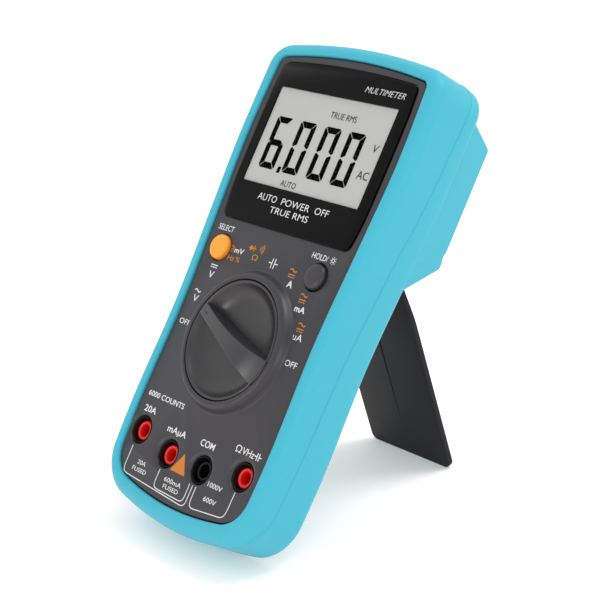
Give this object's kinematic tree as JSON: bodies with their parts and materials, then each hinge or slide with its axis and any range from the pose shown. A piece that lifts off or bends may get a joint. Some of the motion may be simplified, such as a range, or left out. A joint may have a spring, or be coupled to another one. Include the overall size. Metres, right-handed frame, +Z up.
{
  "type": "handheld multimeter",
  "caption": "Handheld digital multimeter in a blue rubber holster, standing on its rear kickstand, with a rotary dial, two keys and a row of test-lead jacks.",
  "frame": {"origin": "on the table under the middle of the standing meter's bounding box", "axes": "+X to the meter's right as its face is read, +Y towards the back, +Z up; the display leans back and faces -Y and up"},
  "size_m": [0.089, 0.1176, 0.1571],
  "materials": {
    "black_plastic": "satin",
    "blue_rubber": "satin soft-touch rubber",
    "brass": "bright",
    "cell_wrap": "printed wrap",
    "circuit_board": "solder mask",
    "fuse_ceramic": "matt",
    "grey_plastic": "fine matt texture",
    "knob_plastic": "satin",
    "lcd_glass": "flat grey reflective display",
    "light_guide": "frosted",
    "manganin": "bright",
    "orange_plastic": "satin",
    "red_plastic": "gloss",
    "steel": "bright",
    "white_plastic": "matt",
    "window_acrylic": "polished, dark printed border",
    "zebra_elastomer": "matt"
  },
  "bodies": {
    "meter": {"holster": "blue_rubber", "front_case": "grey_plastic", "rear_case": "grey_plastic", "display_window": "window_acrylic", "lcd_panel": "lcd_glass", "lcd_backlight": "light_guide", "zebra_strip": "zebra_elastomer", "lcd_frame": "white_plastic", "select_switch": "black_plastic", "hold_switch": "black_plastic", "jack_collar_20a": "red_plastic", "jack_socket_20a": "brass", "jack_collar_ma": "red_plastic", "jack_socket_ma": "brass", "jack_collar_com": "black_plastic", "jack_socket_com": "brass", "jack_collar_volt": "red_plastic", "jack_socket_volt": "brass", "main_board": "circuit_board", "main_ic": "black_plastic", "buzzer": "black_plastic", "ptc_thermistor": "orange_plastic", "current_shunt": "manganin", "fuse_20a": "fuse_ceramic", "fuse_clip_20a_1": "brass", "fuse_clip_20a_2": "brass", "fuse_600ma": "fuse_ceramic", "fuse_clip_600ma_1": "brass", "fuse_clip_600ma_2": "brass", "battery_1": "cell_wrap", "battery_spring_1": "steel", "battery_2": "cell_wrap", "battery_spring_2": "steel", "battery_link": "steel", "battery_plus": "steel", "battery_minus": "steel", "case_screw_1": "steel", "case_screw_2": "steel", "case_screw_3": "steel", "case_screw_4": "steel", "board_screw_1": "steel", "board_screw_2": "steel", "board_screw_3": "steel", "board_screw_4": "steel", "kickstand_pin": "steel"},
    "dial": {"rotary_knob": "knob_plastic", "switch_rotor": "white_plastic", "rotor_contact_1": "brass", "rotor_contact_2": "brass", "rotor_contact_3": "brass", "detent_ball_1": "steel", "detent_ball_2": "steel", "detent_spring_1": "steel", "detent_spring_2": "steel"},
    "select_key": {"select_button": "orange_plastic"},
    "hold_key": {"hold_button": "grey_plastic"},
    "stand": {"kickstand": "grey_plastic"},
    "door": {"battery_door": "grey_plastic", "door_screw": "steel"}
  },
  "joints": [
    {"name": "dial_turn", "type": "hinge", "parent": "meter", "child": "dial", "pos_m": [0, -0.02303, 0.06724], "axis": [0, -0.8302, 0.5575], "range_deg": [-160, 20]},
    {"name": "select_press", "type": "slide", "parent": "meter", "child": "select_key", "axis": [0, 0.8302, -0.5575], "range_m": [0, 0.001], "stiffness_N_per_m": 800, "springref_m": -0.0005},
    {"name": "hold_press", "type": "slide", "parent": "meter", "child": "hold_key", "axis": [0, 0.8302, -0.5575], "range_m": [0, 0.001], "stiffness_N_per_m": 800, "springref_m": -0.0005},
    {"name": "stand_fold", "type": "hinge", "parent": "meter", "child": "stand", "pos_m": [0, 0.03235, 0.09088], "axis": [-1, 0, 0], "range_deg": [0, 53.9]},
    {"name": "door_lift", "type": "slide", "parent": "meter", "child": "door", "axis": [0, 0.8302, -0.5575], "range_m": [0, 0.02]}
  ]
}
